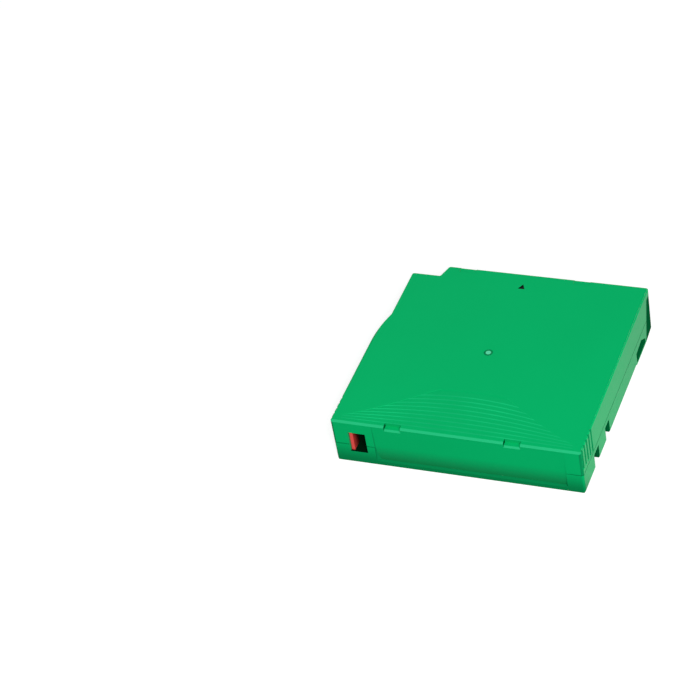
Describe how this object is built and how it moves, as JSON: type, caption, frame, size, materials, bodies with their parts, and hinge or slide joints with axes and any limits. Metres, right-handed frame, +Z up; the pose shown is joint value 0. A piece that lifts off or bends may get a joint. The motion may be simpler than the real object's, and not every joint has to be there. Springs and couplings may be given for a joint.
{
  "type": "data tape cartridge",
  "caption": "Single-reel data tape cartridge: two-part moulded case with a sprung sliding tape door, leader pin, locked reel and a sliding write-protect tab.",
  "frame": {"origin": "middle of the footprint, on the surface the cartridge lies on", "axes": "+X across the case to the side without the tape door, +Y from the label face to the end that enters the drive, +Z up from the reel opening to the lid"},
  "size_m": [0.1054, 0.102, 0.0215],
  "materials": {
    "case_green": "satin",
    "switch_red": "satin",
    "door_green": "satin",
    "reel_grey": "satin",
    "brake_white": "satin",
    "clip_grey": "satin",
    "tape": "gloss",
    "steel": "satin",
    "spring_steel": "bright",
    "screw_steel": "satin",
    "board": "satin",
    "copper": "satin",
    "chip_black": "matte"
  },
  "bodies": {
    "case": {"lower_shell": "case_green", "upper_shell": "case_green", "case_screws": "screw_steel", "door_spring": "spring_steel", "leader_pin": "steel", "tape_clip": "clip_grey", "leader_tape": "tape", "lower_pin_spring": "spring_steel", "upper_pin_spring": "spring_steel", "brake_spring": "spring_steel", "memory_board": "board", "memory_antenna": "copper", "memory_chip": "chip_black"},
    "door": {"access_door": "door_green"},
    "reel": {"reel_hub": "reel_grey", "upper_flange": "reel_grey", "tape_pack": "tape", "drive_plate": "steel"},
    "brake": {"brake_button": "brake_white"},
    "release": {"release_plate": "brake_white"},
    "write_protect": {"write_protect_slider": "switch_red"}
  },
  "joints": [
    {"name": "door_slide", "type": "slide", "parent": "case", "child": "door", "axis": [0, -1, 0], "range_m": [0, 0.0127], "stiffness_N_per_m": 40, "springref_m": -0.006, "deforming": ["door_spring"]},
    {"name": "reel_spin", "type": "hinge", "parent": "case", "child": "reel", "pos_m": [0, 0, 0.003], "axis": [0, 0, 1], "continuous": true},
    {"name": "brake_lift", "type": "slide", "parent": "case", "child": "brake", "axis": [0, 0, 1], "range_m": [0, 0.002], "stiffness_N_per_m": 900, "springref_m": -0.002, "deforming": ["brake_spring"]},
    {"name": "release_lift", "type": "slide", "parent": "reel", "child": "release", "axis": [0, 0, 1], "range_m": [0, 0.002]},
    {"name": "write_protect_slide", "type": "slide", "parent": "case", "child": "write_protect", "axis": [1, 0, 0], "range_m": [0, 0.0055]}
  ],
  "couplings": [
    {"joint": "release_lift", "follows": "brake_lift", "ratio": 1}
  ]
}
